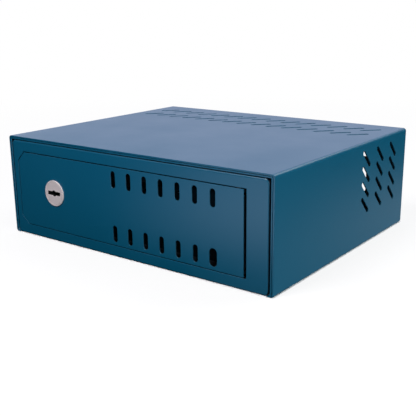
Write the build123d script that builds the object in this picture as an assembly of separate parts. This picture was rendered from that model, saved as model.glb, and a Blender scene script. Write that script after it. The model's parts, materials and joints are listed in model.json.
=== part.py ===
from build123d import *
import math
import os

# Lock box for a video recorder: a folded steel case with a vented cover, a flush
# door hinged at the right, and a turning key lock that throws a flat bolt behind
# the left side of the door opening.
# Millimetres. +X is to the right, +Y to the back, +Z up.
# The origin is on the bottom, in the middle of the whole outline.

# Case
WIDTH = 336.0
DEPTH = 277.0
HEIGHT = 108.0
SHEET = 1.5
PLATE = 2.0
FACE_RECESS = 0.3
COVER_BEND = 3.2
BOTTOM_BEND = 2.8
REAR_BEND = 2.5
HEM_RETURN = 9.5
HEM_SEAM = 0.6
HEM_SEAM_DEPTH = 0.9
HEM_LIP = 0.6
NOSE_OUTSIDE = 1.4
NOSE_INSIDE = 0.45
REAR_FLANGE = 14.0
BOTTOM_FLANGE = 12.0
PAN_FLANGE = 10.0
BASE_FLANGE = 12.0
FRAME_BEND = 2.0
FRAME_CORNER = 4.8
FRAME_LOW_CORNER = 7.2
FRAME_LOW_DROP = 1.5
FRAME_LEFT_GAP = 0.2
FRAME_RIGHT_GAP = 1.8
FRAME_TOP_GAP = 0.5
BEND_INSIDE = 0.5
END_GAP = 0.7

# Door opening, measured from the sides of the case, and the gaps round the door
STILE_LEFT = 11.7
STILE_RIGHT = 27.8
RAIL_BOTTOM = 11.2
RAIL_TOP = 15.6
DOOR_TOP_GAP = 1.05
DOOR_BOTTOM_GAP = 0.8
DOOR_LEFT_GAP = 0.65
HINGE_GAP = 3.0

# Door
DOOR_DEPTH = 16.5
DOOR_CHAMFER = 9.7
DOOR_BEND = 0.4
CORNER_RELIEF = 4.5

# Slots in the door, the columns counted from the hinge side
DOOR_SLOT_LENGTH = 17.0
DOOR_SLOT_WIDTH = 6.0
DOOR_SLOT_PITCH = 20.0
DOOR_SLOT_COLUMNS = 7
DOOR_SLOT_FROM_HINGE = 32.7
DOOR_SLOT_LOW_INSET = 11.8
DOOR_SLOT_HIGH_INSET = 12.5
WIDE_SLOT_LENGTH = 17.6
WIDE_SLOT_WIDTH = 8.8

# Slanting vents in the cover
VENT_LENGTH = 24.2
VENT_WIDTH = 4.7
VENT_TOP_COUNT = 15
VENT_TOP_PITCH = 20.2
VENT_COLUMN_PITCH = 32.4
VENT_LAST_COLUMN = 36.0
VENT_SIDE_COLUMNS = 3
VENT_TOP_ROWS = 2
VENT_SIDE_ROWS = 4
VENT_ROW_PITCH = 16.0
VENT_TOP_ROW_DROP = 17.7

# Cable windows in the rear panel, as clear sizes inside their rubber trims
WINDOW_WIDTH = 248.0
LOWER_WINDOW_Z = 29.7
LOWER_WINDOW_HEIGHT = 30.3
WINDOW_GAP = 11.0
UPPER_WINDOW_DROP = 20.0
WINDOW_CORNER = 3.0
TRIM = 1.0
TRIM_LIP = 2.5

# Rivets that join the cover to the rear panel
RIVET_RADIUS = 2.0
RIVET_HEAD_RADIUS = 4.0
RIVET_HEAD = 1.2
RIVET_TAIL_RADIUS = 2.9
RIVET_TAIL = 3.0
RIVET_HOLE = 0.05
RIVET_TOP_COUNT = 4
RIVET_TOP_PITCH = 80.0
RIVET_SIDE_HEIGHTS = (30.0, 72.0)

# Bolt-down holes in the base
BASE_HOLE_RADIUS = 3.5
BASE_HOLE_X = 240.0
BASE_HOLE_Y = 180.0

# Hinge: a fixed pin at the top and at the bottom of the door
HINGE_FROM_EDGE = 6.2
HINGE_BEHIND_FACE = 5.0
PIN_RADIUS = 2.0
PIN_HEAD_RADIUS = 3.5
PIN_HEAD = 1.2
PIN_REACH = 2.0
PIN_SEAT = 0.02
RUNNING_GAP = 0.05
WASHER_RADIUS = 4.0
WASHER_BORE_GAP = 0.15
WASHER_PLAY = 0.1
BRACKET_LEG = 32.0
BRACKET_WIDTH = 15.0
BRACKET_EDGE = 1.5
BRACKET_TAB = 6.0

# Lock, a little above the middle of the door, measured from the door's left edge
LOCK_FROM_EDGE = 54.9
LOCK_ABOVE_MIDDLE = 1.2
LOCK_PROUD = 1.2
LOCK_RADIUS = 13.8
LOCK_EDGE = 0.5
BARREL_RADIUS = 12.0
BARREL_LENGTH = 8.0
BARREL_HOLE = 0.1
PLUG_RADIUS = 10.25
PLUG_FACE_RADIUS = 11.95
PLUG_FACE = 0.7
PLUG_FACE_GAP = 0.1
PLUG_SET_BACK = 0.1
KEYWAY_LENGTH = 18.7
KEYWAY_WIDTH = 3.9
KEYWAY_CENTRE_RADIUS = 3.25
KEYWAY_DEPTH = 7.4
LOCK_WASHER = 0.8
LOCK_WASHER_RADIUS = 15.5
LOCK_WASHER_TEETH = 16
LOCK_NUT = 3.0
LOCK_NUT_FLATS = 30.0
THREAD_GAP = 0.05

# Crank on the back of the plug
CRANK_THROW = 6.0
CRANK_GAP = 0.2
CRANK_RADIUS = 11.5
CRANK_SQUARE = 9.0
CRANK_PIN_RADIUS = 2.0
CRANK_PIN_SLOT_GAP = 0.35
LOCK_TURN = 90.0

# Bolt that the crank slides to the left
BOLT_THICKNESS = 3.0
BOLT_HEIGHT = 22.0
BOLT_TIP_INSET = 2.0
BOLT_TAIL = 32.0
BOLT_TIP_ROUND = 1.2
BOLT_GAP = 0.3
CRANK_TO_BOLT = 0.6
POST_RADIUS = 2.5
POST_HEAD_RADIUS = 4.5
POST_HEAD = 1.2
POST_FROM_LOCK = 18.0

# Case of the lock, a tray against the back of the door
CASE_SHEET = 1.5
CASE_LEFT = 26.0
CASE_RIGHT = 38.0
CASE_HALF_HEIGHT = 20.5
CASE_EAR = 10.0
CASE_REAR_GAP = 1.0
STUD_RADIUS = 2.0
STUD_LENGTH = 7.0
STUD_PITCH = 36.0
STUD_HOLE_GAP = 0.25
STUD_NUT = 3.2
STUD_NUT_FLATS = 7.0

# Strike and stops on the left side of the frame
STRIKE_GAP = 0.4
STRIKE_MARGIN = 4.0
STRIKE_SHY = 0.3
STOP_HEIGHT = 10.0
STOP_SPREAD = 21.75
STOP_REACH = 7.0
BUMPER = 2.0
BUMPER_RADIUS = 4.0
BUMPER_GAP = 0.4

# Places worked out from the sizes
LEFT = -WIDTH / 2
RIGHT = WIDTH / 2
FRONT = -DEPTH / 2
REAR = DEPTH / 2
FACE = FRONT + FACE_RECESS
HEM = 2 * SHEET + HEM_SEAM
OPENING = (LEFT + STILE_LEFT, RIGHT - STILE_RIGHT, RAIL_BOTTOM, HEIGHT - RAIL_TOP)
DOOR_LEFT = OPENING[0] + DOOR_LEFT_GAP
DOOR_RIGHT = OPENING[1] - HINGE_GAP
DOOR_BOTTOM = OPENING[2] + DOOR_BOTTOM_GAP
DOOR_TOP = OPENING[3] - DOOR_TOP_GAP
CHAMFER_SHARE = 2 - math.sqrt(2)
HINGE_X = DOOR_RIGHT - HINGE_FROM_EDGE
HINGE_Y = FACE + HINGE_BEHIND_FACE
LOCK_X = DOOR_LEFT + LOCK_FROM_EDGE
LOCK_Z = (DOOR_BOTTOM + DOOR_TOP) / 2 + LOCK_ABOVE_MIDDLE
DOOR_BACK = FACE + SHEET
BARREL_END = FACE + BARREL_LENGTH
CRANK_FRONT = BARREL_END + CRANK_GAP
CRANK_BACK = CRANK_FRONT + PLATE
BOLT_FRONT = CRANK_BACK + CRANK_TO_BOLT
BOLT_BACK = BOLT_FRONT + BOLT_THICKNESS
CASE_INSIDE = BOLT_BACK + CASE_REAR_GAP
CRANK_ANGLE = math.radians(LOCK_TURN / 2)
BOLT_TRAVEL = 2 * CRANK_THROW * math.sin(CRANK_ANGLE)
BOLT_LEFT = DOOR_LEFT + BOLT_TIP_INSET
BOLT_RIGHT = LOCK_X + BOLT_TAIL
FRAME_LEFT = LEFT + HEM + FRAME_LEFT_GAP
FRAME_RIGHT = RIGHT - HEM - FRAME_RIGHT_GAP
FRAME_TOP = HEIGHT - HEM - FRAME_TOP_GAP
REAR_INSIDE = REAR - 2 * SHEET
UPPER_WINDOW_Z = LOWER_WINDOW_Z + LOWER_WINDOW_HEIGHT + WINDOW_GAP
UPPER_WINDOW_HEIGHT = HEIGHT - UPPER_WINDOW_DROP - UPPER_WINDOW_Z
DOOR_SLOT_ROWS = (DOOR_BOTTOM + DOOR_SLOT_LOW_INSET, DOOR_TOP - DOOR_SLOT_HIGH_INSET)


def block(x0, x1, y0, y1, z0, z1):
    """A box between two corners."""
    centre = ((x0 + x1) / 2, (y0 + y1) / 2, (z0 + z1) / 2)
    return Pos(*centre) * Box(x1 - x0, y1 - y0, z1 - z0)


def rod_y(x, z, y0, y1, radius):
    """A round rod from front to back."""
    return Pos(x, (y0 + y1) / 2, z) * Rot(90, 0, 0) * Cylinder(radius, y1 - y0)


def rod_z(x, y, z0, z1, radius):
    """An upright round rod."""
    return Pos(x, y, (z0 + z1) / 2) * Cylinder(radius, z1 - z0)


def prism_y(sketch, y0, y1):
    """A sketch drawn in X and Z, given its thickness from y0 back to y1."""
    return extrude(Plane.XZ.offset(-y0) * sketch, -(y1 - y0))


def prism_x(sketch, x0, x1):
    """A sketch drawn in Y and Z, given its thickness from x0 to x1."""
    return extrude(Plane.YZ.offset(x0) * sketch, x1 - x0)


def hexagon(flats):
    """A hexagon, sized across its flats."""
    return RegularPolygon(flats / 2, 6, major_radius=False)


def door_outline(x0, x1, z0, z1, chamfer):
    """A rectangle whose two left corners are cut off."""
    points = [
        (x0 + chamfer, z0),
        (x1, z0),
        (x1, z1),
        (x0 + chamfer, z1),
        (x0, z1 - chamfer),
        (x0, z0 + chamfer),
    ]
    return make_face(Polyline(*points, close=True))


def vent(angle):
    """One slanting vent slot."""
    return Rot(0, 0, angle) * SlotOverall(VENT_LENGTH, VENT_WIDTH)


def vent_columns(count):
    """Distances of the vent columns from the middle of the case, from the back."""
    return [REAR - VENT_LAST_COLUMN - VENT_COLUMN_PITCH * i for i in range(count)]


def top_vents():
    """The cutters for the rows of vents in the top."""
    cutters = []
    first = -VENT_TOP_PITCH * (VENT_TOP_COUNT - 1) / 2
    for y in vent_columns(VENT_TOP_ROWS):
        for i in range(VENT_TOP_COUNT):
            place = Pos(first + VENT_TOP_PITCH * i, y, HEIGHT - 2 * SHEET)
            cutters.append(place * extrude(vent(45), 3 * SHEET))
    return cutters


def side_vents():
    """The cutters for the vents in both sides."""
    cutters = []
    for y in vent_columns(VENT_SIDE_COLUMNS):
        for row in range(VENT_SIDE_ROWS):
            z = HEIGHT - VENT_TOP_ROW_DROP - VENT_ROW_PITCH * row
            slot = Pos(y, z) * vent(135)
            cutters.append(prism_x(slot, LEFT - SHEET, LEFT + 2 * SHEET))
            cutters.append(prism_x(slot, RIGHT - 2 * SHEET, RIGHT + SHEET))
    return cutters


def rivet_places():
    """Where the rear rivets stand, as X and Z."""
    first = -RIVET_TOP_PITCH * (RIVET_TOP_COUNT - 1) / 2
    middle = REAR_FLANGE / 2
    places = [(first + RIVET_TOP_PITCH * i, HEIGHT - middle) for i in range(RIVET_TOP_COUNT)]
    for z in RIVET_SIDE_HEIGHTS:
        places.append((LEFT + middle, z))
        places.append((RIGHT - middle, z))
    return places


def rivet_holes(y0, y1):
    """The cutters for the rivet holes."""
    return [rod_y(x, z, y0, y1, RIVET_RADIUS + RIVET_HOLE) for x, z in rivet_places()]


def arch(inset, radius, y0, y1):
    """The space under the cover, open below, set in from its outside on three sides."""
    x0 = LEFT + inset
    x1 = RIGHT - inset
    body = block(x0, x1, y0, y1, -SHEET, HEIGHT - inset)
    top = body.edges().filter_by(Axis.Y).group_by(Axis.Z)[-1]
    return fillet(top, radius)


def low_arc_z():
    """The height of the centre of the front frame's low corner arcs."""
    return FRAME_LOW_CORNER - FRAME_LOW_DROP


def hem_side(x0, x1, gap):
    """Half the space inside the hem, with its low corner a gap away from the frame's."""
    y1 = FRONT + HEM_RETURN + SHEET
    radius = FRAME_LOW_CORNER + gap
    body = block(x0, x1, FRONT - SHEET, y1, low_arc_z() - radius, HEIGHT - HEM)
    outer = body.edges().filter_by(Axis.Y).sort_by(lambda edge: abs(edge.center().X))[-2:]
    low = outer.sort_by(Axis.Z)[0]
    body = fillet(low, radius)
    top = body.edges().filter_by(Axis.Y).group_by(Axis.Z)[-1]
    top = top.sort_by(lambda edge: abs(edge.center().X))[-1]
    return fillet(top, BEND_INSIDE)


def hem_space():
    """The space inside the hem, above a thin lip under the right corner of the frame."""
    body = hem_side(LEFT + HEM, 0, FRAME_LEFT_GAP) + hem_side(0, RIGHT - HEM, FRAME_RIGHT_GAP)
    centre = FRAME_RIGHT - FRAME_LOW_CORNER
    rise = low_arc_z() - HEM_LIP
    foot = centre + math.sqrt(FRAME_LOW_CORNER ** 2 - rise ** 2) + HEM_LIP
    return body - block(foot, RIGHT, FRONT - 2 * SHEET, FACE + PAN_FLANGE + SHEET, -HEIGHT, HEM_LIP)


def on_outline(edge):
    """Whether an edge lies on the outside of the cover, seen from the front."""
    middle = edge.center()
    return abs(middle.X) > RIGHT - HEM / 2 or middle.Z > HEIGHT - HEM / 2


def cover_hem():
    """The folded front edge of the cover, rounded at its nose."""
    body = arch(0, COVER_BEND, FRONT, FRONT + HEM_RETURN)
    body -= block(LEFT, RIGHT, FRONT - SHEET, FRONT + HEM_RETURN + SHEET, -2 * SHEET, 0)
    low = body.edges().filter_by(Axis.Y).group_by(Axis.Z)[0].sort_by(Axis.X)
    body = fillet([low[0], low[-1]], BOTTOM_BEND) - hem_space()
    nose = body.faces().sort_by(Axis.Y)[0].edges()
    nose = [edge for edge in nose if edge.center().Z > HEM_LIP]
    outside = [edge for edge in nose if on_outline(edge)]
    inside = [edge for edge in nose if not on_outline(edge)]
    body = fillet(outside, SHEET * NOSE_OUTSIDE)
    body = fillet(inside, SHEET * NOSE_INSIDE)
    y1 = FRONT + HEM_SEAM_DEPTH
    seam = arch(SHEET, COVER_BEND - SHEET, FRONT - SHEET, y1)
    return body - (seam - arch(SHEET + HEM_SEAM, COVER_BEND - SHEET - HEM_SEAM, FRONT - SHEET, y1))


def bottom_lip(side):
    """The flange folded in under one side of the cover, along X from the outside."""
    y0 = FACE + PAN_FLANGE + END_GAP
    y1 = REAR - SHEET - PAN_FLANGE - END_GAP
    body = block(0, SHEET + BOTTOM_FLANGE, y0, y1, 0, COVER_BEND)
    inner = block(SHEET, SHEET + 2 * BOTTOM_FLANGE, y0 - SHEET, y1 + SHEET, SHEET, HEIGHT)
    low = inner.edges().filter_by(Axis.Y).group_by(Axis.X)[0].group_by(Axis.Z)[0]
    body -= fillet(low, BOTTOM_BEND - SHEET)
    edges = body.edges().filter_by(Axis.Y)
    outside = edges.group_by(Axis.X)[0].group_by(Axis.Z)[0]
    body = fillet(outside, BOTTOM_BEND)
    if side > 0:
        return Pos(RIGHT, 0, 0) * mirror(body, Plane.YZ)
    return Pos(LEFT, 0, 0) * body


def cover_shell():
    """Top and both sides in one folded sheet."""
    outer = arch(0, COVER_BEND, FRONT + HEM, REAR)
    outer -= block(LEFT, RIGHT, FRONT, REAR, -2 * SHEET, 0)
    outer = fillet(outer.edges().filter_by(Axis.Y).group_by(Axis.Z)[0], BOTTOM_BEND)
    rim = outer.faces().sort_by(Axis.Y)[-1].edges()
    rim = [edge for edge in rim if edge.center().Z > BEND_INSIDE]
    outer = fillet(rim, REAR_BEND)
    inner = arch(SHEET, COVER_BEND - SHEET, FRONT, REAR - SHEET)
    back = inner.faces().sort_by(Axis.Y)[-1].edges()
    back = [edge for edge in back if edge.center().Z > 0]
    inner = fillet(back, REAR_BEND - SHEET)
    body = outer - inner
    x = WIDTH / 2 - REAR_FLANGE
    body -= block(-x, x, REAR - 2 * SHEET, REAR + SHEET, -SHEET, HEIGHT - REAR_FLANGE)
    y0 = FACE + PAN_FLANGE + END_GAP
    y1 = REAR - SHEET - PAN_FLANGE - END_GAP
    body -= block(LEFT - SHEET, RIGHT + SHEET, y0, y1, -SHEET, COVER_BEND)
    body += bottom_lip(-1)
    body += bottom_lip(1)
    body += cover_hem()
    body -= top_vents()
    body -= side_vents()
    body -= rivet_holes(REAR - 2 * SHEET, REAR + SHEET)
    return body


def frame_tray(inset, y0, y1, top):
    """The space inside the frame's outline, set in from its sides and bottom."""
    body = block(FRAME_LEFT + inset, FRAME_RIGHT - inset, y0, y1, inset - FRAME_LOW_DROP, top)
    low = body.edges().filter_by(Axis.Y).group_by(Axis.Z)[0]
    body = fillet(low, FRAME_LOW_CORNER - inset)
    return body - block(LEFT, RIGHT, y0 - SHEET, y1 + SHEET, -2 * SHEET, inset)


def front_frame():
    """The front ring round the door, turned back at its sides and bottom."""
    back = FACE + PAN_FLANGE
    outer = frame_tray(0, FACE, back, FRAME_TOP)
    outer = fillet(outer.edges().filter_by(Axis.Y).group_by(Axis.Z)[-1], FRAME_CORNER)
    outer = fillet(outer.faces().sort_by(Axis.Y)[0].edges(), FRAME_BEND)
    body = outer - frame_tray(SHEET, DOOR_BACK, back + SHEET, HEIGHT)
    chamfer = DOOR_CHAMFER + DOOR_LEFT_GAP * CHAMFER_SHARE
    hole = door_outline(*OPENING, chamfer)
    return body - prism_y(hole, FACE - SHEET, DOOR_BACK + SHEET)


def base_holes():
    """The cutters for the bolt-down holes."""
    cutters = []
    for x in (-BASE_HOLE_X / 2, BASE_HOLE_X / 2):
        for y in (-BASE_HOLE_Y / 2, BASE_HOLE_Y / 2):
            cutters.append(rod_z(x, y, 0, 3 * SHEET, BASE_HOLE_RADIUS))
    return cutters


def base_tray():
    """The bottom sheet, with its sides turned up and a tongue into the front frame."""
    x = WIDTH / 2 - SHEET
    y0 = FACE + PAN_FLANGE + END_GAP
    y1 = REAR_INSIDE - REAR_BEND
    outer = block(-x, x, y0, y1, SHEET, SHEET + BASE_FLANGE)
    outer = fillet(outer.edges().filter_by(Axis.Y).group_by(Axis.Z)[0], COVER_BEND)
    inner = block(-x + SHEET, x - SHEET, y0 - SHEET, y1 + SHEET, 2 * SHEET, HEIGHT)
    inner = fillet(inner.edges().filter_by(Axis.Y).group_by(Axis.Z)[0], COVER_BEND - SHEET)
    reach = FRAME_RIGHT - FRAME_LOW_CORNER
    body = outer - inner
    body += block(-reach, reach, DOOR_BACK, y0 + SHEET, SHEET, 2 * SHEET)
    return body - base_holes()


def window_outline(z, height, margin):
    """One cable window, made larger all round by a margin."""
    wide = WINDOW_WIDTH + 2 * margin
    tall = height + 2 * margin
    return Pos(0, z + height / 2) * RectangleRounded(wide, tall, WINDOW_CORNER + margin)


def rear_panel():
    """The back wall, with its lower edge turned forward under the base."""
    x = RIGHT - REAR_BEND - RUNNING_GAP
    y1 = REAR - SHEET
    outer = block(-x, x, y1 - PAN_FLANGE, y1, 0, HEIGHT - REAR_BEND - RUNNING_GAP)
    low = outer.edges().filter_by(Axis.X).group_by(Axis.Z)[0]
    outer = fillet(low.sort_by(Axis.Y)[-1], REAR_BEND)
    inner = block(-x, x, y1 - 2 * PAN_FLANGE, REAR_INSIDE, SHEET, HEIGHT)
    low = inner.edges().filter_by(Axis.X).group_by(Axis.Z)[0]
    inner = fillet(low.sort_by(Axis.Y)[-1], REAR_BEND - SHEET)
    body = outer - inner
    for z, height in windows():
        body -= prism_y(window_outline(z, height, TRIM), REAR_INSIDE - SHEET, REAR)
    return body - rivet_holes(REAR_INSIDE - SHEET, REAR)


def windows():
    """The bottom edge and the height of each cable window."""
    return [(LOWER_WINDOW_Z, LOWER_WINDOW_HEIGHT), (UPPER_WINDOW_Z, UPPER_WINDOW_HEIGHT)]


def window_trim(z, height):
    """A rubber trim that grips the edge of one cable window."""
    y0 = REAR_INSIDE
    y1 = REAR - SHEET
    body = prism_y(window_outline(z, height, TRIM + TRIM_LIP), y0 - TRIM, y1 + TRIM)
    body -= prism_y(window_outline(z, height, 0), y0 - 2 * TRIM, y1 + 2 * TRIM)
    groove = prism_y(window_outline(z, height, TRIM + 2 * TRIM_LIP), y0, y1)
    groove -= prism_y(window_outline(z, height, TRIM), y0 - TRIM, y1 + TRIM)
    return body - groove


def rear_rivets():
    """Blind rivets through the cover's rear flange and the rear panel."""
    rivets = []
    for x, z in rivet_places():
        body = rod_y(x, z, REAR_INSIDE - RIVET_TAIL, REAR + RIVET_HEAD / 2, RIVET_RADIUS)
        head = rod_y(x, z, REAR, REAR + RIVET_HEAD, RIVET_HEAD_RADIUS)
        rim = head.faces().sort_by(Axis.Y)[-1].edges()
        body += fillet(rim, RIVET_HEAD - FACE_RECESS)
        body += rod_y(x, z, REAR_INSIDE - RIVET_TAIL, REAR_INSIDE, RIVET_TAIL_RADIUS)
        rivets.append(body)
    return Compound(rivets)


def hinge_bracket(edge, away):
    """An angle behind the right side of the frame, whose tab holds a hinge pin.

    edge is the edge of the opening that the tab lies on, and away is 1 where the
    tab lies above the door and -1 where it lies below it.
    """
    x1 = OPENING[1] + BRACKET_EDGE + BRACKET_WIDTH
    outside = edge + away * PLATE
    inside = edge - away * BRACKET_LEG
    low, high = sorted((outside, inside))
    leg = block(OPENING[1] + BRACKET_EDGE, x1, DOOR_BACK, DOOR_BACK + PLATE, low, high)
    low, high = sorted((edge, outside))
    tab = block(HINGE_X - BRACKET_TAB, x1, DOOR_BACK, HINGE_Y + BRACKET_TAB, low, high)
    corners = tab.edges().filter_by(Axis.Z).group_by(Axis.Y)[-1]
    tab = fillet(corners, BRACKET_TAB / 2)
    return leg + tab - rod_z(HINGE_X, HINGE_Y, low - PLATE, high + PLATE, PIN_RADIUS + PIN_SEAT)


def door_edge(away):
    """The height of the door's top or bottom edge."""
    return DOOR_TOP if away > 0 else DOOR_BOTTOM


def hinge_pin(edge, away):
    """A headed pin through the tab of a bracket and the flange of the door."""
    outside = edge + away * PLATE
    end = door_edge(away) - away * (SHEET + PIN_REACH)
    low, high = sorted((outside, end))
    pin = rod_z(HINGE_X, HINGE_Y, low, high, PIN_RADIUS)
    tip = pin.faces().sort_by(Axis.Z)[0 if away > 0 else -1].edges()
    pin = chamfer(tip, PIN_RADIUS / 4)
    low, high = sorted((outside, outside + away * PIN_HEAD))
    return pin + rod_z(HINGE_X, HINGE_Y, low, high, PIN_HEAD_RADIUS)


def hinge_washer(edge, away):
    """A thin washer on a hinge pin, between the bracket and the door."""
    low, high = sorted((edge, door_edge(away) + away * WASHER_PLAY))
    body = rod_z(HINGE_X, HINGE_Y, low, high, WASHER_RADIUS)
    bore = rod_z(HINGE_X, HINGE_Y, low - PLATE, high + PLATE, PIN_RADIUS + WASHER_BORE_GAP)
    return body - bore


def strike_bracket():
    """An angle on the frame's left flange, whose lip stands in front of the bolt."""
    x0 = FRAME_LEFT + SHEET
    lip = BOLT_FRONT - STRIKE_GAP
    half = BOLT_HEIGHT / 2 + STRIKE_MARGIN
    z0 = LOCK_Z - half
    z1 = LOCK_Z + half
    body = block(x0, x0 + PLATE, DOOR_BACK, lip, z0, z1)
    return body + block(x0, OPENING[0] - STRIKE_SHY, lip - PLATE, lip, z0, z1)


def door_stop(z):
    """An angle on the frame's left flange that carries a bumper behind the door."""
    x0 = FRAME_LEFT + SHEET
    y1 = FACE + DOOR_DEPTH + BUMPER_GAP + BUMPER
    z0 = z - STOP_HEIGHT / 2
    z1 = z + STOP_HEIGHT / 2
    body = block(x0, x0 + PLATE, DOOR_BACK, y1 + PLATE, z0, z1)
    lip = block(x0, DOOR_LEFT + STOP_REACH, y1, y1 + PLATE, z0, z1)
    corners = lip.edges().filter_by(Axis.Y).group_by(Axis.X)[-1]
    return body + fillet(corners, PLATE)


def door_bumpers():
    """Rubber pads that the left edge of the closed door comes up to."""
    pads = []
    y0 = FACE + DOOR_DEPTH + BUMPER_GAP
    for z in (LOCK_Z - STOP_SPREAD, LOCK_Z + STOP_SPREAD):
        pad = rod_y(DOOR_LEFT + SHEET / 2, z, y0, y0 + BUMPER, BUMPER_RADIUS)
        rim = pad.faces().sort_by(Axis.Y)[0].edges()
        pads.append(fillet(rim, BUMPER / 3))
    return Compound(pads)


def door_slots():
    """The cutters for both rows of slots in the door, the last lower one wider."""
    cutters = []
    for row, z in enumerate(DOOR_SLOT_ROWS):
        for column in range(DOOR_SLOT_COLUMNS):
            x = DOOR_RIGHT - DOOR_SLOT_FROM_HINGE - DOOR_SLOT_PITCH * column
            wide = row == 0 and column == 0
            length = WIDE_SLOT_LENGTH if wide else DOOR_SLOT_LENGTH
            width = WIDE_SLOT_WIDTH if wide else DOOR_SLOT_WIDTH
            slot = Pos(x, z) * Rot(0, 0, 90) * SlotOverall(length, width)
            cutters.append(prism_y(slot, FACE - SHEET, DOOR_BACK + SHEET))
    return cutters


def door_panel():
    """The door, a shallow pan whose edges are turned back, open at its corners."""
    back = FACE + DOOR_DEPTH
    outline = door_outline(DOOR_LEFT, DOOR_RIGHT, DOOR_BOTTOM, DOOR_TOP, DOOR_CHAMFER)
    outer = prism_y(outline, FACE, back)
    outer = fillet(outer.faces().sort_by(Axis.Y)[0].edges(), DOOR_BEND)
    outline = door_outline(
        DOOR_LEFT + SHEET,
        DOOR_RIGHT - SHEET,
        DOOR_BOTTOM + SHEET,
        DOOR_TOP - SHEET,
        DOOR_CHAMFER - SHEET * CHAMFER_SHARE,
    )
    body = outer - prism_y(outline, DOOR_BACK, back + SHEET)
    corner = DOOR_CHAMFER + SHEET
    y0 = DOOR_BACK + SHEET
    y1 = back + SHEET
    for z0, z1 in ((DOOR_BOTTOM, DOOR_BOTTOM + corner), (DOOR_TOP - corner, DOOR_TOP)):
        body -= block(DOOR_LEFT - SHEET, DOOR_LEFT + corner, y0, y1, z0 - SHEET, z1 + SHEET)
    inside = DOOR_RIGHT - SHEET
    low = DOOR_BOTTOM + SHEET
    high = DOOR_TOP - SHEET
    for z in (low, high - CORNER_RELIEF):
        body -= block(inside, DOOR_RIGHT + SHEET, DOOR_BACK, y1, z, z + CORNER_RELIEF)
    body -= door_slots()
    body -= rod_y(LOCK_X, LOCK_Z, FACE - SHEET, DOOR_BACK + SHEET, BARREL_RADIUS + BARREL_HOLE)
    body -= bolt_window(DOOR_LEFT - SHEET, DOOR_LEFT + 2 * SHEET)
    hole = PIN_RADIUS + RUNNING_GAP
    body -= rod_z(HINGE_X, HINGE_Y, DOOR_BOTTOM - SHEET, DOOR_BOTTOM + 2 * SHEET, hole)
    return body - rod_z(HINGE_X, HINGE_Y, DOOR_TOP - 2 * SHEET, DOOR_TOP + SHEET, hole)


def bolt_window(x0, x1):
    """The cutter for a window that the bolt slides through."""
    half = BOLT_HEIGHT / 2 + BOLT_GAP
    return block(x0, x1, BOLT_FRONT - BOLT_GAP, BOLT_BACK + BOLT_GAP, LOCK_Z - half, LOCK_Z + half)


def keyway(y0, y1):
    """The cutter for a level keyway with a round middle."""
    outline = Rectangle(KEYWAY_LENGTH, KEYWAY_WIDTH) + Circle(KEYWAY_CENTRE_RADIUS)
    return prism_y(Pos(LOCK_X, LOCK_Z) * outline, y0, y1)


def lock_housing():
    """The fixed outer part of the lock: a round rim and a barrel through the door."""
    rim = rod_y(LOCK_X, LOCK_Z, FACE - LOCK_PROUD, FACE, LOCK_RADIUS)
    rim = fillet(rim.faces().sort_by(Axis.Y)[0].edges(), LOCK_EDGE)
    body = rim + rod_y(LOCK_X, LOCK_Z, FACE, BARREL_END, BARREL_RADIUS)
    pocket = PLUG_FACE_RADIUS + PLUG_FACE_GAP
    floor = FACE - LOCK_PROUD + PLUG_SET_BACK + PLUG_FACE + PLUG_FACE_GAP
    body -= rod_y(LOCK_X, LOCK_Z, FACE - 2 * LOCK_PROUD, floor, pocket)
    bore = PLUG_RADIUS + RUNNING_GAP
    return body - rod_y(LOCK_X, LOCK_Z, FACE - LOCK_PROUD, BARREL_END + PLATE, bore)


def lock_plug():
    """The turning middle of the lock, with a keyway in front and a square behind."""
    front = FACE - LOCK_PROUD + PLUG_SET_BACK
    body = rod_y(LOCK_X, LOCK_Z, front, front + PLUG_FACE, PLUG_FACE_RADIUS)
    body += rod_y(LOCK_X, LOCK_Z, front, BARREL_END, PLUG_RADIUS)
    square = Pos(LOCK_X, LOCK_Z) * Rectangle(CRANK_SQUARE, CRANK_SQUARE)
    body += prism_y(square, BARREL_END - PLATE, CRANK_BACK)
    return body - keyway(front - PLUG_FACE, front + KEYWAY_DEPTH)


def lock_washer():
    """A toothed washer between the nut of the lock and the door."""
    y1 = DOOR_BACK + LOCK_WASHER
    body = rod_y(LOCK_X, LOCK_Z, DOOR_BACK, y1, LOCK_WASHER_RADIUS)
    body -= rod_y(LOCK_X, LOCK_Z, DOOR_BACK - SHEET, y1 + SHEET, BARREL_RADIUS + THREAD_GAP)
    notches = []
    for i in range(LOCK_WASHER_TEETH):
        turn = 360 / LOCK_WASHER_TEETH * i
        notch = Rot(0, 0, turn) * Pos(LOCK_WASHER_RADIUS, 0) * Rectangle(2.4, 1.6)
        notches.append(prism_y(Pos(LOCK_X, LOCK_Z) * notch, DOOR_BACK - SHEET, y1 + SHEET))
    return body - notches


def lock_nut():
    """The thin nut on the barrel of the lock."""
    y0 = DOOR_BACK + LOCK_WASHER
    body = prism_y(Pos(LOCK_X, LOCK_Z) * hexagon(LOCK_NUT_FLATS), y0, y0 + LOCK_NUT)
    return body - rod_y(LOCK_X, LOCK_Z, y0 - SHEET, BARREL_END + SHEET, BARREL_RADIUS + THREAD_GAP)


def crank_pin_place():
    """Where the crank pin stands in the open lock, as X and Z."""
    return LOCK_X + CRANK_THROW * math.sin(CRANK_ANGLE), LOCK_Z + CRANK_THROW * math.cos(CRANK_ANGLE)


def lock_crank():
    """The disc on the plug's square that carries the crank pin."""
    body = rod_y(LOCK_X, LOCK_Z, CRANK_FRONT, CRANK_BACK, CRANK_RADIUS)
    square = Pos(LOCK_X, LOCK_Z) * Rectangle(CRANK_SQUARE, CRANK_SQUARE)
    return body - prism_y(square, CRANK_FRONT - SHEET, CRANK_BACK + SHEET)


def crank_pin():
    """The pin that drives the bolt."""
    x, z = crank_pin_place()
    return rod_y(x, z, CRANK_BACK, BOLT_BACK + BOLT_GAP, CRANK_PIN_RADIUS)


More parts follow.
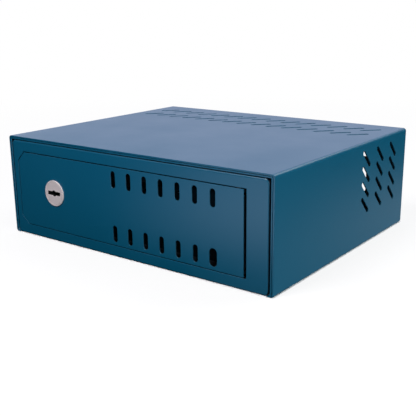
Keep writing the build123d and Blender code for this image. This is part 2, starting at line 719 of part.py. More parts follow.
def lock_bolt():
    """The flat bolt, with an upright slot for the crank pin and a level one for its post."""
    half = BOLT_HEIGHT / 2
    body = block(BOLT_LEFT, BOLT_RIGHT, BOLT_FRONT, BOLT_BACK, LOCK_Z - half, LOCK_Z + half)
    tip = body.edges().filter_by(Axis.Z).group_by(Axis.X)[0]
    body = fillet(tip, BOLT_TIP_ROUND)
    x, z = crank_pin_place()
    reach = CRANK_PIN_RADIUS + CRANK_PIN_SLOT_GAP
    tall = LOCK_Z + CRANK_THROW - z + 2 * reach
    slot = Pos(x, (LOCK_Z + CRANK_THROW + z) / 2) * Rot(0, 0, 90) * SlotOverall(tall, 2 * reach)
    body -= prism_y(slot, BOLT_FRONT - PLATE, BOLT_BACK + PLATE)
    reach = POST_RADIUS + BOLT_GAP
    slot = Pos(LOCK_X + POST_FROM_LOCK + BOLT_TRAVEL / 2, LOCK_Z)
    slot *= SlotOverall(BOLT_TRAVEL + 2 * reach, 2 * reach)
    return body - prism_y(slot, BOLT_FRONT - PLATE, BOLT_BACK + PLATE)


def bolt_guide_post():
    """A shouldered post on the back of the lock case that guides the bolt's tail."""
    x = LOCK_X + POST_FROM_LOCK
    head = BOLT_FRONT - BOLT_GAP
    body = rod_y(x, LOCK_Z, head - POST_HEAD, head, POST_HEAD_RADIUS)
    body += rod_y(x, LOCK_Z, head - POST_HEAD, CASE_INSIDE, POST_RADIUS)
    return body + rod_y(x, LOCK_Z, BOLT_BACK + BOLT_GAP, CASE_INSIDE, POST_HEAD_RADIUS)


def stud_places():
    """Where the studs of the lock case stand, as X and Z."""
    middle = LOCK_X + (CASE_RIGHT - CASE_LEFT) / 2
    height = CASE_HALF_HEIGHT + CASE_EAR / 2
    places = []
    for x in (middle - STUD_PITCH / 2, middle + STUD_PITCH / 2):
        places.append((x, LOCK_Z - height))
        places.append((x, LOCK_Z + height))
    return places


def lock_case():
    """The tray over the lock's working parts, with an ear above and one below."""
    x0 = LOCK_X - CASE_LEFT
    x1 = LOCK_X + CASE_RIGHT
    z0 = LOCK_Z - CASE_HALF_HEIGHT
    z1 = LOCK_Z + CASE_HALF_HEIGHT
    outer = block(x0, x1, DOOR_BACK, CASE_INSIDE + CASE_SHEET, z0, z1)
    outer = fillet(outer.faces().sort_by(Axis.Y)[-1].edges(), CASE_SHEET)
    inner = block(
        x0 + CASE_SHEET,
        x1 - CASE_SHEET,
        DOOR_BACK - SHEET,
        CASE_INSIDE,
        z0 + CASE_SHEET,
        z1 - CASE_SHEET,
    )
    ears = block(x0, x1, DOOR_BACK, DOOR_BACK + CASE_SHEET, z0 - CASE_EAR, z1 + CASE_EAR)
    ears = fillet(ears.edges().filter_by(Axis.Y), CASE_EAR / 4)
    body = outer + ears - inner
    body -= bolt_window(x0 - CASE_SHEET, x0 + 2 * CASE_SHEET)
    hole = STUD_RADIUS + STUD_HOLE_GAP
    return body - [rod_y(x, z, DOOR_BACK - SHEET, DOOR_BACK + 2 * CASE_SHEET, hole) for x, z in stud_places()]


def lock_case_studs():
    """Threaded studs welded to the back of the door."""
    end = DOOR_BACK + STUD_LENGTH
    return Compound([rod_y(x, z, DOOR_BACK, end, STUD_RADIUS) for x, z in stud_places()])


def lock_case_nuts():
    """Nuts that hold the lock case on its studs."""
    nuts = []
    y0 = DOOR_BACK + CASE_SHEET
    for x, z in stud_places():
        body = prism_y(Pos(x, z) * hexagon(STUD_NUT_FLATS), y0, y0 + STUD_NUT)
        nuts.append(body - rod_y(x, z, y0 - SHEET, y0 + STUD_NUT + SHEET, STUD_RADIUS + THREAD_GAP))
    return Compound(nuts)


TOP_HINGE = (OPENING[3], 1)
BOTTOM_HINGE = (OPENING[2], -1)

PIECES = {
    "cover_shell": cover_shell(),
    "front_frame": front_frame(),
    "base_tray": base_tray(),
    "rear_panel": rear_panel(),
    "lower_window_trim": window_trim(LOWER_WINDOW_Z, LOWER_WINDOW_HEIGHT),
    "upper_window_trim": window_trim(UPPER_WINDOW_Z, UPPER_WINDOW_HEIGHT),
    "rear_rivets": rear_rivets(),
    "hinge_bracket_top": hinge_bracket(*TOP_HINGE),
    "hinge_bracket_bottom": hinge_bracket(*BOTTOM_HINGE),
    "hinge_pin_top": hinge_pin(*TOP_HINGE),
    "hinge_pin_bottom": hinge_pin(*BOTTOM_HINGE),
    "hinge_washer_top": hinge_washer(*TOP_HINGE),
    "hinge_washer_bottom": hinge_washer(*BOTTOM_HINGE),
    "strike_bracket": strike_bracket(),
    "door_stop_top": door_stop(LOCK_Z + STOP_SPREAD),
    "door_stop_bottom": door_stop(LOCK_Z - STOP_SPREAD),
    "door_bumpers": door_bumpers(),
    "door_panel": door_panel(),
    "lock_housing": lock_housing(),
    "lock_washer": lock_washer(),
    "lock_nut": lock_nut(),
    "lock_plug": lock_plug(),
    "lock_crank": lock_crank(),
    "crank_pin": crank_pin(),
    "lock_bolt": lock_bolt(),
    "bolt_guide_post": bolt_guide_post(),
    "lock_case": lock_case(),
    "lock_case_studs": lock_case_studs(),
    "lock_case_nuts": lock_case_nuts(),
}

os.makedirs("parts", exist_ok=True)
for name, piece in PIECES.items():
    export_step(piece, f"parts/{name}.step")
    size = piece.bounding_box()
    print(name, len(piece.solids()), size.min, size.max)

print("hinge axis", HINGE_X, HINGE_Y)
print("lock axis", LOCK_X, LOCK_Z)
print("bolt travel", BOLT_TRAVEL, "metres per radian", BOLT_TRAVEL / 1000 / math.radians(LOCK_TURN))
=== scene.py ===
# %% [markdown]
# A lock box for a video recorder is folded sheet steel under a teal powder coat.
# The CAD model already has every piece in its right place. This notebook sets up a small
# studio and dresses the model in it: it rounds the edges as the coating does, gives the
# screws their threads, the rubber its profile and every surface its finish.

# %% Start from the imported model
import json
import math
import bmesh
import bpy
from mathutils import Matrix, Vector
from mathutils.bvhtree import BVHTree

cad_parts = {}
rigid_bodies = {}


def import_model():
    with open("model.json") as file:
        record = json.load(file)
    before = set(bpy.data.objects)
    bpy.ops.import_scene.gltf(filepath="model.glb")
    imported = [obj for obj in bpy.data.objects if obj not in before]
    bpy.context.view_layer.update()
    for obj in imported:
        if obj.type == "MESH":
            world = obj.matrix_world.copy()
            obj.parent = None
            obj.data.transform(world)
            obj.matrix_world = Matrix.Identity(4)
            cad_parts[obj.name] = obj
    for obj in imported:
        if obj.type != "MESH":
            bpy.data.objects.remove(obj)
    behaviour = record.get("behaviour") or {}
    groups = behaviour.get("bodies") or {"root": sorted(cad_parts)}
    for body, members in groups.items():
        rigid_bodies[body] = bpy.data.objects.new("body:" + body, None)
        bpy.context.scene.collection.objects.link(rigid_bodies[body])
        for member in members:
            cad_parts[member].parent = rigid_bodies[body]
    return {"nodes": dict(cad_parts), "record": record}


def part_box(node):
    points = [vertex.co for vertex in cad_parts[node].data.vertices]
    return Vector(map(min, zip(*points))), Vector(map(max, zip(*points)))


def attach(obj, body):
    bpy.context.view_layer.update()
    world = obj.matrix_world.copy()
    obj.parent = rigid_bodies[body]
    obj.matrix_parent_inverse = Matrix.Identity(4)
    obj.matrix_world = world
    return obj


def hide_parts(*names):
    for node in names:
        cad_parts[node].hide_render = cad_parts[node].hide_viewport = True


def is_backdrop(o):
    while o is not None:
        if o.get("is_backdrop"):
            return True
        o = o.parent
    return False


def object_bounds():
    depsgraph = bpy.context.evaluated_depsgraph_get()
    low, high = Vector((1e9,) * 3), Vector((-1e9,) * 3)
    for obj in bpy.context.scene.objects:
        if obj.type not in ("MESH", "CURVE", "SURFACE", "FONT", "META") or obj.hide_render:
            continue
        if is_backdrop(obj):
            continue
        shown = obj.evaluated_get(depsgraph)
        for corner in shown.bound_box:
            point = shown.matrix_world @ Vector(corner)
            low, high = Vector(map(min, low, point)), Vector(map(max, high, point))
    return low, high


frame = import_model()
cad_low, cad_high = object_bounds()
print("nodes:", len(frame["nodes"]))


# %% Helpers: objects and lengths
def new_object(name, data):
    """A new object in the scene."""
    made = bpy.data.objects.new(name, data)
    bpy.context.scene.collection.objects.link(made)
    return made


def mm(lengths):
    """Metres as rounded millimetres, for printing."""
    return [round(length * 1000, 2) for length in lengths]


# %% [markdown]
# The camera comes first, since every later choice is judged through it. Its place was
# solved from the corners of the box, and a lens of about 62 mm gives the same
# perspective. A camera looks along its own -Z, so three Euler angles can aim it.

# %% Camera
LENS = 61.85
CAMERA_PLACE = (0.4629, -0.6210, 0.2395)
CAMERA_TURN_DEGREES = (74.246, 0.575, 36.794)

camera_data = bpy.data.cameras.new("camera")
camera_data.sensor_width = 36.0
camera_data.lens = LENS
camera_data.clip_start = 0.01
camera = new_object("camera", camera_data)
camera.location = CAMERA_PLACE
camera.rotation_euler = [math.radians(angle) for angle in CAMERA_TURN_DEGREES]
bpy.context.scene.camera = camera
bpy.context.scene.view_settings.view_transform = "Standard"
print("camera stands", round(camera.location.length, 3), "m from the origin")


# %% [markdown]
# Shaders and Geometry Nodes are both trees of nodes, and building one in a script takes
# the same few moves again and again: add a node, set or link its inputs, do a sum. A
# handful of helpers for these moves keeps every tree below short enough to read.

# %% Node helpers
def add(tree, kind, **settings):
    """A new node, with its properties set."""
    node = tree.nodes.new(kind)
    for name, value in settings.items():
        setattr(node, name, value)
    return node


def fill(tree, sockets, values):
    """Links each socket to what it is given, or sets it where that is a plain value."""
    for socket, value in zip(sockets, values):
        if isinstance(value, bpy.types.NodeSocket):
            tree.links.new(value, socket)
        else:
            socket.default_value = value


def feed(tree, node, **values):
    """Sets or links the inputs of a node, named with _ for a space."""
    fill(tree, [node.inputs[name.replace("_", " ")] for name in values], values.values())
    return node


def math_node(tree, operation, a, b=0.0):
    """One sum of two numbers or sockets."""
    node = add(tree, "ShaderNodeMath", operation=operation)
    fill(tree, node.inputs, (a, b))
    return node.outputs[0]


def plus(tree, a, b):
    """Adds two numbers or sockets."""
    return math_node(tree, "ADD", a, b)


def minus(tree, a, b):
    """Takes the second number or socket from the first."""
    return math_node(tree, "SUBTRACT", a, b)


def times(tree, *factors):
    """Multiplies numbers or sockets."""
    product = factors[0]
    for factor in factors[1:]:
        product = math_node(tree, "MULTIPLY", product, factor)
    return product


def ramp(tree, value, start, end, low=0.0, high=1.0, kind="SMOOTHSTEP"):
    """Goes from low to high while the value goes from start to end."""
    node = add(tree, "ShaderNodeMapRange", interpolation_type=kind)
    feed(tree, node, Value=value, From_Min=start, From_Max=end, To_Min=low, To_Max=high)
    return node.outputs[0]


def mix_colour(tree, amount, a, b, blend="MIX"):
    """Goes from colour a to colour b, or blends them in another way."""
    node = add(tree, "ShaderNodeMix", data_type="RGBA", blend_type=blend)
    fill(tree, (node.inputs[0], node.inputs[6], node.inputs[7]), (amount, a, b))
    return node.outputs[2]


# %% Node helpers: places
def object_place(tree):
    """The Object coordinates, which stay on the piece when it moves."""
    return add(tree, "ShaderNodeTexCoord").outputs["Object"]


def split(tree, vector):
    """The X, Y and Z of a vector."""
    return feed(tree, add(tree, "ShaderNodeSeparateXYZ"), Vector=vector).outputs


def within(tree, value, start, end):
    """One where the value lies between two numbers, or else nought."""
    after = math_node(tree, "GREATER_THAN", value, start)
    return times(tree, after, math_node(tree, "LESS_THAN", value, end))


def box_mask(tree, axes, ranges):
    """One inside a box, given as a range along each axis, or else nought."""
    return times(tree, *[within(tree, axes[axis], *ends) for axis, ends in ranges.items()])


# %% [markdown]
# The stage is a plain white floor. To the camera it shines by itself as well, so that
# it melts into the white sky and only a faint shadow is left under the box. Right under
# the box it doesn't, or it would show through the bolt-down holes. What the paint
# mirrors is another matter: a studio sets cards round a product. Here the Light Path
# node makes the floor dark for mirrored rays, but for two glowing patches: one in
# front, whose sheen lies on the upper right of the door, and one along the side's foot.

# %% Floor
FLOOR_SIZE = 8.0
FLOOR_SEEN = (0.93, 0.93, 0.93, 1)
FLOOR_DARK = (0.010, 0.010, 0.012, 1)
FLOOR_SHINE = 0.80
FADE_START, FADE_END = 0.3, 1.2
FRONT_GLOW = (0.90, 1.0, 1.20, 1)
FRONT_MIDDLE = (0.09, -0.51, 0)
FRONT_CORE = 0.12
FRONT_EDGE = 0.35
FRONT_STRENGTH = 1.85
SIDE_GLOW = (1.0, 1.0, 1.05, 1)
SIDE_STRENGTH = 0.36
SIDE_ACROSS = [(0.05, 0.15), (0.36, 0.18)]
SIDE_ALONG = [(-0.2, 0.25, 0.30, 1.0), (0.6, 0.25), (-0.45, -0.15)]

floor_mesh = bpy.data.meshes.new("floor")
half = FLOOR_SIZE / 2
corners = [(-half, -half, 0), (half, -half, 0), (half, half, 0), (-half, half, 0)]
floor_mesh.from_pydata(corners, [], [(0, 1, 2, 3)])
floor = new_object("floor", floor_mesh)
floor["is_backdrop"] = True

paper = bpy.data.materials.new("floor_paper")
paper.use_nodes = True
floor_mesh.materials.append(paper)
tree = paper.node_tree
tree.nodes.clear()
camera_ray = add(tree, "ShaderNodeLightPath").outputs["Is Camera Ray"]
place = object_place(tree)
axes = split(tree, place)
print("floor:", FLOOR_SIZE, "m square")


# %% Patches that glow for mirrored rays
def glow(mask, colour, strength):
    """A patch of the floor that shines for mirrored rays alone."""
    power = times(tree, mask, minus(tree, 1.0, camera_ray), strength)
    return feed(tree, add(tree, "ShaderNodeEmission"), Color=colour, Strength=power).outputs[0]


apart = add(tree, "ShaderNodeVectorMath", operation="DISTANCE")
fill(tree, apart.inputs, (place, FRONT_MIDDLE))
disc = ramp(tree, apart.outputs["Value"], FRONT_EDGE, FRONT_CORE)
across = [ramp(tree, axes["X"], *ends) for ends in SIDE_ACROSS]
along = [ramp(tree, axes["Y"], *ends) for ends in SIDE_ALONG]
patches = [glow(disc, FRONT_GLOW, FRONT_STRENGTH),
           glow(times(tree, *across, *along), SIDE_GLOW, SIDE_STRENGTH)]
print("patches:", len(patches))

# %% What the camera sees of the floor
paint = mix_colour(tree, camera_ray, FLOOR_DARK, FLOOR_SEEN)
matt = feed(tree, add(tree, "ShaderNodeBsdfDiffuse"), Color=paint)
shine = feed(tree, add(tree, "ShaderNodeEmission"), Color=(1, 1, 1, 1), Strength=1.0)
far = add(tree, "ShaderNodeVectorMath", operation="LENGTH")
fill(tree, far.inputs, [place])
fade = ramp(tree, far.outputs["Value"], FADE_START, FADE_END, FLOOR_SHINE, 1.0, kind="LINEAR")
foot = {"X": (cad_low.x, cad_high.x), "Y": (cad_low.y, cad_high.y)}
fade = times(tree, fade, minus(tree, 1.0, box_mask(tree, axes, foot)))
both = add(tree, "ShaderNodeMixShader")
fill(tree, both.inputs, (times(tree, fade, camera_ray), matt.outputs[0], shine.outputs[0]))
surface = both.outputs[0]
for patch in patches:
    total = add(tree, "ShaderNodeAddShader")
    fill(tree, total.inputs, (surface, patch))
    surface = total.outputs[0]
feed(tree, add(tree, "ShaderNodeOutputMaterial"), Surface=surface)
print("the floor doesn't shine under", {axis: mm(ends) for axis, ends in foot.items()})

# %% [markdown]
# The sky is the rest of the studio: a bright wall behind the box at the left, whose
# reflection pales the top, and a dim room in front and at the right, so that the door
# and the side keep their deep colour. A gradient along each axis is all it needs.

# %% Sky
ROOM = (0.014, 0.016, 0.020, 1)
WALL = (0.76, 0.80, 1.08, 1)
SEEN = (1.0, 1.0, 1.0, 1)
WALL_DEPTH = (-0.2, 0.8)
WALL_SIDE = (0.30, -0.25, 0.04, 1.0)
WALL_HEIGHT = (0.34, 0.16, 0.94, 1.12)

world = bpy.data.worlds.new("studio")
bpy.context.scene.world = world
world.use_nodes = True
tree = world.node_tree
tree.nodes.clear()
axes = split(tree, add(tree, "ShaderNodeTexCoord").outputs["Generated"])
share = times(tree, ramp(tree, axes["Y"], *WALL_DEPTH),
              ramp(tree, axes["X"], *WALL_SIDE, kind="LINEAR"),
              ramp(tree, axes["Z"], *WALL_HEIGHT, kind="LINEAR"))
room = mix_colour(tree, share, ROOM, WALL)
camera_ray = add(tree, "ShaderNodeLightPath").outputs["Is Camera Ray"]
seen = mix_colour(tree, camera_ray, room, SEEN)
sky = feed(tree, add(tree, "ShaderNodeBackground"), Color=seen, Strength=1.0)
feed(tree, add(tree, "ShaderNodeOutputWorld"), Surface=sky.outputs[0])
print("sky from", ROOM[:3], "in front to", WALL[:3], "behind")


# %% [markdown]
# Four soft boxes light it. The high one in front stands to the left, so that the gap at
# the hinge and the walls of the slots, which look to the right, stay dark. The low one
# at the right lights the side, and those at the left and the back fill what is behind.

# %% Soft boxes
def soft_box(name, place, target, size, power, colour=(1, 1, 1)):
    """An area light that faces its target."""
    data = bpy.data.lights.new(name, "AREA")
    data.shape = "RECTANGLE"
    data.size, data.size_y = size
    data.energy = power
    data.color = colour
    lamp = new_object(name, data)
    lamp.location = place
    lamp.rotation_euler = (Vector(target) - Vector(place)).to_track_quat("-Z", "Y").to_euler()
    lamp.visible_camera = False


soft_box("front", place=(-0.32, -1.25, 1.45), target=(0.0, -0.14, 0.05), size=(0.8, 1.0),
         power=30.8, colour=(1.0, 0.97, 1.0))
soft_box("right", place=(1.75, -0.35, 0.50), target=(0.17, 0, 0.05), size=(1.4, 0.8),
         power=31.0, colour=(0.97, 1.0, 0.98))
soft_box("left", place=(-1.7, 0.3, 0.7), target=(-0.17, 0, 0.05), size=(1.2, 0.8), power=5.0)
soft_box("back", place=(0.8, 1.2, 1.45), target=(0.0, 0.14, 0.05), size=(1.4, 1.0), power=16.0)


# %% [markdown]
# Powder coat, rubber and nylon share one thing: a skin that is never quite flat. It is
# kept in a shader group with its own inputs, so that each material sets how coarse and
# how deep its skin is. The group only puts out values, and the shader stays outside.

# %% Group: skin
def new_group(name, inputs, outputs):
    """An empty shader group with named number sockets."""
    group = bpy.data.node_groups.new(name, "ShaderNodeTree")
    for title, value in inputs.items():
        socket = group.interface.new_socket(title, in_out="INPUT", socket_type="NodeSocketFloat")
        socket.default_value = value
    for title in outputs:
        group.interface.new_socket(title, in_out="OUTPUT", socket_type="NodeSocketFloat")
    return group, add(group, "NodeGroupInput").outputs, add(group, "NodeGroupOutput")


def noise(tree, place, scale, detail):
    """A cloudy pattern between nought and one."""
    node = add(tree, "ShaderNodeTexNoise")
    return feed(tree, node, Vector=place, Scale=scale, Detail=detail).outputs[0]


WIDE_SCALE = 0.22
WIDE_SHARE = 0.6
CLOUD_SCALE = 14.0
CLOUD_SHEEN = 0.12

skin, given, made = new_group("skin", {"Scale": 900.0, "Mottle": 0.05},
                              ["Height", "Tone", "Sheen"])
place = object_place(skin)
fine = noise(skin, place, given["Scale"], 2.0)
wide = noise(skin, place, times(skin, given["Scale"], WIDE_SCALE), 1.0)
swing = minus(skin, noise(skin, place, CLOUD_SCALE, 3.0), 0.5)
feed(skin, made, Height=plus(skin, fine, times(skin, wide, WIDE_SHARE)),
     Tone=plus(skin, times(skin, swing, given["Mottle"]), 1.0),
     Sheen=times(skin, swing, CLOUD_SHEEN))
print("group:", skin.name, [s.name for s in skin.interface.items_tree])

# %% [markdown]
# Plated and rolled metal has a grain: long fine streaks along the way it was worked.
# A noise stretched along one axis draws them, and the stretch is an input, so that
# bolts, nuts and rivets each take their own grain. A coarser noise clouds the plating.

# %% Group: grain
PATINA_SCALE = 160.0

grain, given, made = new_group("grain", {"Across": 2600.0, "Along": 90.0},
                               ["Height", "Streak", "Patina"])
place = object_place(grain)
scale = feed(grain, add(grain, "ShaderNodeCombineXYZ"), X=given["Along"],
             Y=given["Across"], Z=given["Across"])
stretched = add(grain, "ShaderNodeVectorMath", operation="MULTIPLY")
fill(grain, stretched.inputs, (place, scale.outputs[0]))
streak = noise(grain, stretched.outputs[0], 1.0, 2.0)
feed(grain, made, Height=streak, Streak=streak, Patina=noise(grain, place, PATINA_SCALE, 3.0))
print("group:", grain.name, [s.name for s in grain.interface.items_tree])


# %% [markdown]
# Each finish is one Principled shader. The recipe below sets what is the same all over
# directly on the shader, and lets a group vary only colour, roughness and the bump.

# %% Recipes
GRAIN_DEPTH = 0.000004
PATINA_TONE = (0.9, 1.04)
STREAK_ROUGHNESS = (-0.06, 0.08)


def new_material(name, roughness, metallic=0.0, specular=0.5):
    """A material with its shader, ready for a group to feed it."""
    made = bpy.data.materials.new(name)
    made.use_nodes = True
    tree = made.node_tree
    shader = tree.nodes["Principled BSDF"]
    feed(tree, shader, Roughness=roughness, Metallic=metallic, Specular_IOR_Level=specular)
    return made, tree, shader


def bump(tree, height, depth):
    """A normal that follows a height."""
    return feed(tree, add(tree, "ShaderNodeBump"), Height=height, Distance=depth).outputs[0]


def skinned(name, colour, roughness, scale, depth, mottle, specular=0.5):
    """A coated or moulded finish."""
    made, tree, shader = new_material(name, roughness, specular=specular)
    group = add(tree, "ShaderNodeGroup", node_tree=skin)
    skin_out = feed(tree, group, Scale=scale, Mottle=mottle).outputs
    feed(tree, shader, Base_Color=mix_colour(tree, 1.0, colour, skin_out["Tone"], "MULTIPLY"),
         Roughness=plus(tree, skin_out["Sheen"], roughness),
         Normal=bump(tree, skin_out["Height"], depth))
    return made


def plated(name, colour, roughness, across, along, metallic=1.0):
    """A metal finish with its grain."""
    made, tree, shader = new_material(name, roughness, metallic=metallic)
    group = add(tree, "ShaderNodeGroup", node_tree=grain)
    grain_out = feed(tree, group, Across=across, Along=along).outputs
    tone = ramp(tree, grain_out["Patina"], 0.0, 1.0, *PATINA_TONE, kind="LINEAR")
    ends = [roughness + change for change in STREAK_ROUGHNESS]
    rough = ramp(tree, grain_out["Streak"], 0.0, 1.0, *ends, kind="LINEAR")
    feed(tree, shader, Base_Color=mix_colour(tree, 1.0, colour, tone, "MULTIPLY"),
         Roughness=rough, Normal=bump(tree, grain_out["Height"], GRAIN_DEPTH))
    return made


# %% Finishes
TEAL = (0.0006, 0.0755, 0.141, 1)
NICKEL = (0.74, 0.66, 0.655, 1)
ZINC = (0.60, 0.61, 0.63, 1)
ALUMINIUM = (0.63, 0.63, 0.64, 1)
RUBBER = (0.014, 0.014, 0.015, 1)
NYLON = (0.02, 0.02, 0.021, 1)

FINISH = {
    "powder_coat": skinned("powder_coat", TEAL, roughness=0.33, scale=1100.0,
                           depth=0.00002, mottle=0.05),
    "satin_nickel": plated("satin_nickel", NICKEL, roughness=0.50, across=2200.0,
                           along=1500.0, metallic=0.35),
    "zinc_plate": plated("zinc_plate", ZINC, roughness=0.30, across=2600.0, along=160.0),
    "rivet_aluminium": plated("rivet_aluminium", ALUMINIUM, roughness=0.34, across=1800.0,
                              along=900.0),
    "black_rubber": skinned("black_rubber", RUBBER, roughness=0.62, scale=1600.0,
                            depth=0.00003, mottle=0.2, specular=0.35),
    "black_nylon": skinned("black_nylon", NYLON, roughness=0.45, scale=800.0,
                           depth=0.00001, mottle=0.1),
}
print("finishes:", sorted(FINISH))


# %% [markdown]
# Inside the box only shade falls, and here that shade is painted: the coat's colour is
# darkened there as painted shade, and made matt too, which is why the slots in the door
# look black. A mask from Object coordinates marks what lies behind the outer faces, and a
# second one leaves out the flat back of the door, which keeps its full colour.

# %% Inside of the box: painted shade
SKIN_SIDE = 0.0010
SKIN_FRONT = 0.0008
DOOR_SHEET = 0.0014
BACK_REACH = 0.0003
# painted shade: the share of the teal colour that is left inside the box
INSIDE_SHADE = 0.12
INSIDE_ROUGHER = 0.65


def shader_of(material):
    """A material's tree, its shader and the colour that feeds it."""
    shader = material.node_tree.nodes["Principled BSDF"]
    return material.node_tree, shader, shader.inputs["Base Color"].links[0].from_socket


door_low, door_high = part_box("door_panel")
INSIDE = {"X": (cad_low.x + SKIN_SIDE, cad_high.x - SKIN_SIDE),
          "Y": (door_low.y + SKIN_FRONT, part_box("rear_panel")[1].y - SKIN_FRONT),
          "Z": (SKIN_FRONT, cad_high.z - SKIN_SIDE)}
DOOR_BACK = {"X": (door_low.x + DOOR_SHEET, door_high.x - DOOR_SHEET),
             "Z": (door_low.z + DOOR_SHEET, door_high.z - DOOR_SHEET),
             "Y": (door_low.y + DOOR_SHEET, door_low.y + DOOR_SHEET + BACK_REACH)}
tree, shader, outer_colour = shader_of(FINISH["powder_coat"])
outer_roughness = shader.inputs["Roughness"].links[0].from_socket
axes = split(tree, object_place(tree))
door_back = box_mask(tree, axes, DOOR_BACK)
mask = times(tree, box_mask(tree, axes, INSIDE), minus(tree, 1.0, door_back))
# painted shade: darker colour, and rougher, behind the outer faces
inside_shade = minus(tree, 1.0, times(tree, mask, 1.0 - INSIDE_SHADE))
feed(tree, shader, Base_Color=mix_colour(tree, 1.0, outer_colour, inside_shade, "MULTIPLY"),
     Roughness=plus(tree, outer_roughness, times(tree, mask, INSIDE_ROUGHER)))
print("inside:", {axis: mm(ends) for axis, ends in INSIDE.items()})

# %% [markdown]
# The base sheet faces the slots and would mirror the studio there. Its sheen has to be
# weaker than that of the outer coat, and a sheen is the same all over a material, so the
# sheet has a finish of its own: matt above with its colour darkened as painted shade, and teal on
# its underside.

# %% Base sheet's finish, with painted shade on its upper side
# painted shade: the upper side of the base sheet, darkened as the shaded inside of the box
BASE_SHADE_TEAL = (0.0004, 0.010, 0.018, 1)

shaded_base_finish = skinned("powder_coat_base_shaded", BASE_SHADE_TEAL, roughness=0.85, scale=900.0,
                      depth=0.00003, mottle=0.15, specular=0.02)
tree, shader, upper_shade_colour = shader_of(shaded_base_finish)
below = math_node(tree, "LESS_THAN", split(tree, object_place(tree))["Z"], INSIDE["Z"][0])
feed(tree, shader, Base_Color=mix_colour(tree, below, upper_shade_colour, TEAL))
print("underside up to", mm(INSIDE["Z"][:1]), "mm")

# %% [markdown]
# The keyway is the one dark thing on the bright lock, since hardly any light comes back
# from so narrow a slot. That shade is painted: the plug keeps its own copy of the nickel,
# in which a mask from Object coordinates paints near-black, unmetallic shade on whatever
# lies close to the lock's axis and more than a hair behind its face.

# %% Keyway
KEYWAY_REACH = 0.0100
KEYWAY_START = 0.00025
KEYWAY_END = 0.0080
# painted shade: near black in the keyway
KEYWAY_SHADE = (0.002, 0.002, 0.003, 1)

low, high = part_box("lock_plug")
shaded_plug_finish = FINISH["satin_nickel"].copy()
shaded_plug_finish.name = "satin_nickel_plug_shaded"
tree, shader, plated_colour = shader_of(shaded_plug_finish)
away = add(tree, "ShaderNodeVectorMath", operation="SUBTRACT")
fill(tree, away.inputs, (object_place(tree), ((low.x + high.x) / 2, low.y, (low.z + high.z) / 2)))
axes = split(tree, away.outputs[0])
squares = [math_node(tree, "POWER", math_node(tree, "ABSOLUTE", axes[axis]), 2.0) for axis in "XZ"]
reach = math_node(tree, "SQRT", plus(tree, *squares))
mask = times(tree, within(tree, axes["Y"], KEYWAY_START, KEYWAY_END),
             math_node(tree, "LESS_THAN", reach, KEYWAY_REACH))
metal = shader.inputs["Metallic"].default_value
feed(tree, shader, Base_Color=mix_colour(tree, mask, plated_colour, KEYWAY_SHADE),
     Metallic=times(tree, minus(tree, 1.0, mask), metal))
print("plug's face at", mm([low.y]), "mm, diameter", mm([high.x - low.x]), "mm")

# %% [markdown]
# A CAD mesh is loose triangles with knife edges. On the real box the coating rounds
# every edge by a few tenths of a millimetre, and those edges catch the light. Each
# sheet is copied, its doubles are merged, and a narrow Bevel follows the sharp edges.
# It needs clean faces, so edges between triangles in one plane are dissolved first. A
# face can't have a hole, though, so planes through the holes cut the sheet beforehand.

# %% Cuts through the holes
LOCK_MIDDLE = -0.10075
CUTS = {
    "cover_shell": {"X": (-0.161, 0.161), "Y": (0.0377, 0.0701, 0.1025), "Z": (0.101,)},
    "rear_panel": {"Z": (0.045, 0.0795, 0.101)},
    "front_frame": {"X": (0.02,)},
    "door_panel": {"Z": (0.032, 0.0529, 0.077)},
    "lock_case": {"X": (-0.1127, -0.0767), "Y": (-0.1266,)},
    "hinge_bracket_top": {"X": (0.131,)},
    "hinge_bracket_bottom": {"X": (0.131,)},
    "lock_housing": {"X": (LOCK_MIDDLE,)},
    "lock_plug": {"X": (LOCK_MIDDLE,)},
    "lock_washer": {"X": (LOCK_MIDDLE,)},
    "lock_crank": {"X": (LOCK_MIDDLE,)},
}
print("cut before rounding:", sorted(CUTS))

# %% [markdown]
# Whatever way a piece is made, it ends alike. What its modifiers make is baked into a
# plain mesh, which the export needs. Then it gets the finish of its record slot, rides
# on a body, and hides the CAD nodes it stands for.

# %% Helpers: finished pieces
MERGE = 1e-6
OWN_FINISH = {"lock_plug": shaded_plug_finish, "base_tray": shaded_base_finish}
SLOT_OF = {row["node"]: row["material_slot"] for row in frame["record"]["subparts"]}
BODIES = frame["record"]["behaviour"]["bodies"]
BODY_OF = {node: body for body, nodes in BODIES.items() for node in nodes}


def bake(piece):
    """Turns what the modifiers make into the piece's own mesh, and removes them."""
    graph = bpy.context.evaluated_depsgraph_get()
    mesh = bpy.data.meshes.new_from_object(piece.evaluated_get(graph))
    piece.modifiers.clear()
    piece.data = mesh
    mesh.name = piece.name


def settle(piece, body, slot, *nodes):
    """Gives a finished piece its body and its finish, and hides the nodes that it stands for."""
    piece.data.materials.clear()
    piece.data.materials.append(OWN_FINISH.get(nodes[0] if nodes else None, FINISH[slot]))
    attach(piece, body)
    if piece.parent:
        piece.parent.rotation_mode = "QUATERNION"  # angles lose digits where two turns meet
    if nodes:
        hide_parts(*nodes)
    print(piece.name, len(piece.data.polygons), "faces on", body)


def merged(node):
    """A CAD node's mesh with its doubles merged, ready for work."""
    mesh = bmesh.new()
    mesh.from_mesh(frame["nodes"][node].data)
    bmesh.ops.remove_doubles(mesh, verts=mesh.verts, dist=MERGE)
    return mesh


# %% [markdown]
# Weighted Normal keeps the flat faces flat beside the rounded ones. Where edges meet at
# a slant, a Bevel can overshoot, so points that land off the sheet go back onto it, and
# a corner that is left without a sound normal takes the normal of its face.

# %% Helpers: rounded copy
CUT_SLACK = 1e-7
FLAT_ANGLE = math.radians(0.3)
SHARP_ANGLE = math.radians(35)
SOUND = 0.5


